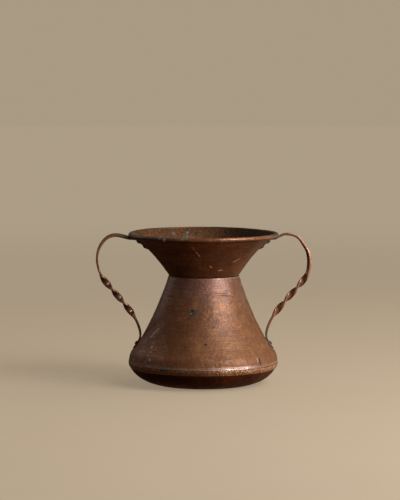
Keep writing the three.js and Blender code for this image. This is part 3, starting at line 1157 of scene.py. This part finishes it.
def pale_floor():
    """A pale floor. Far from the jar it only glows, so that it meets the pale wall without a line."""
    paint = Paint("pale_floor")
    far = paint.step(paint.vector("DISTANCE", paint.place, (0, 0, 0)), 500, 3000)
    near_colour = paint.mix(paint.noise(120, 3), (0.48, 0.40, 0.29), (0.52, 0.43, 0.31))
    paint.colour = paint.mix(far, near_colour, (0.0, 0.0, 0.0))
    paint.plug(paint.shader.inputs["Emission Color"], (*PALE, 1))
    paint.plug(paint.shader.inputs["Emission Strength"], paint.between(far, 0.66, 1.0))
    return paint.done(0.75, paint.bump((paint.noise(1.5, 2), 0.01)))


# The stage. The camera's distances are in metres, its pitch in degrees and its lens in millimetres.
CAMERA_AWAY, CAMERA_HEIGHT, CAMERA_SIDE = 3.5, 0.4847, -0.0053
CAMERA_PITCH, LENS = 4.97, 187.8


def round_jar(angle, rise, away):
    """A place round the jar, at an angle from the front towards +X and a rise above level, in degrees."""
    lift = math.radians(rise)
    return around(angle, away * math.cos(lift), away * math.sin(lift) + HEIGHT / 2)


# Soft lights that face the jar: name, angle, rise, distance, width, height, power in watts, colour.
LIGHTS = (
    ("key", 51, 36, 1.7, 1.1, 0.9, 10.3, (1.0, 0.95, 0.95)),
    ("low_right", 61, 15, 1.7, 0.9, 0.32, 8, (1.0, 0.94, 0.92)),
    ("high_right", 95, 58, 1.8, 1.9, 0.9, 3.6, (1.0, 0.88, 0.72)),
    ("right_back", 125, 22, 1.8, 0.8, 1.2, 0.85, (1.0, 0.88, 0.70)),
    ("left_back", -125, 25, 1.9, 1.0, 1.2, 0.8, (0.97, 0.93, 0.95)),
)


def soft_light(name, angle, rise, away, width, height, power, tint):
    light = bpy.data.lights.new(name, "AREA")
    light.shape = "RECTANGLE"
    light.size, light.size_y = width, height
    light.energy = power
    light.color = tint
    lamp = bpy.data.objects.new(name, light)
    lamp.location = round_jar(angle, rise, away)
    aim = Vector((0, 0, HEIGHT / 2)) - lamp.location
    lamp.rotation_euler = aim.to_track_quat("-Z", "Y").to_euler()
    bpy.context.scene.collection.objects.link(lamp)


def make_world():
    """A dark room with a tan wall behind the jar and a dark table below it. The camera sees it as pale."""
    world = bpy.data.worlds.new("room")
    world.use_nodes = True
    room = Nodes(world.node_tree)
    towards = room.node("ShaderNodeTexCoord").outputs["Generated"]
    x, y, z = room.node("ShaderNodeSeparateXYZ", Vector=towards).outputs
    right = room.step(x, -0.3, 0.9)
    near_table = room.mix(right, (0.024, 0.013, 0.008), (0.26, 0.150, 0.080))
    far_table = room.mix(right, (0.030, 0.018, 0.012), (0.58, 0.39, 0.25))
    table = room.mix(room.step(z, -0.75, -0.30), near_table, far_table)
    sides = room.mix(right, (0.090, 0.070, 0.056), (0.19, 0.145, 0.090))
    walls = room.mix(room.step(y, -0.35, 0.6), (0.072, 0.053, 0.040), sides)
    unseen = room.mix(room.step(z, -0.12, 0.05), table, walls)
    light_path = room.node("ShaderNodeLightPath")
    colour = room.mix(light_path.outputs["Is Camera Ray"], unseen, PALE)
    background = room.node("ShaderNodeBackground", Color=colour)
    output = room.node("ShaderNodeOutputWorld")
    room.tree.links.new(background.outputs[0], output.inputs["Surface"])
    bpy.context.scene.world = world


def make_floor():
    """A wide round floor. It casts no light, reflection or shadow on the jar."""
    radius, count = 9.0, 96
    rim = [around(360 * i / count, radius, 0) for i in range(count)]
    mesh = bpy.data.meshes.new("floor")
    mesh.from_pydata(rim, [], [tuple(range(count))])
    mesh.materials.append(pale_floor())
    floor = bpy.data.objects.new("floor", mesh)
    bpy.context.scene.collection.objects.link(floor)
    floor.visible_diffuse = False
    floor.visible_glossy = False
    floor.visible_shadow = False


def make_camera():
    camera = bpy.data.cameras.new("camera")
    camera.lens = LENS
    camera.sensor_width = 36
    camera.clip_end = 50
    seat = bpy.data.objects.new("camera", camera)
    seat.location = (CAMERA_SIDE, -CAMERA_AWAY, CAMERA_HEIGHT)
    seat.rotation_euler = (math.radians(90 - CAMERA_PITCH), 0, 0)
    bpy.context.scene.collection.objects.link(seat)
    bpy.context.scene.camera = seat


def make_jar():
    inside = inner_copper()
    neck_paints = [neck_copper(), rim_copper(), inside]
    finished("jar_neck", *turned(neck_outline()), neck_paints, ["neck_funnel"], "neck")
    body_paints = [body_copper(), inside]
    finished("jar_body", *turned(body_outline()), body_paints, ["body_shell"], "body")
    pan_paints = [band_copper(), dish_copper(), inside]
    finished("jar_bottom", *turned(pan_outline()), pan_paints, ["base_pan"], "base")
    strap_paints = [
        strap_copper("copper_strap", (0.72, 0.385, 0.255), (0.58, 0.275, 0.170), (0.19, 0.088, 0.055), 0.24),
        # The narrow edges get a lighter copy of the strap's copper, partly wear and partly painted highlight.
        strap_copper("copper_strap_edge", (0.95, 0.56, 0.38), (0.84, 0.44, 0.28), (0.36, 0.16, 0.09), 0.32),
    ]
    rivet_paint = rivet_copper()
    for side in SIDES:
        finished(f"strap_{side}", *strap(side), strap_paints, [f"handle_{side}"], "handle")
        for where, (_, _, from_end) in RIVETS.items():
            strap_face = STRAP_THICKNESS * thinned(from_end)
            made = turned(rivet_outline(strap_face), RIVET_SEGMENTS, rivet_pose(side, where))
            finished(f"rivet_head_{side}_{where}", *made, [rivet_paint], [f"rivet_{side}_{where}"], "rivet")
    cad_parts["rim_wire"].data.materials.clear()
    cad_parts["rim_wire"].data.materials.append(wire_iron())


make_camera()
make_world()
make_floor()
for light in LIGHTS:
    soft_light(*light)
bpy.context.scene.view_settings.view_transform = "Standard"
make_jar()
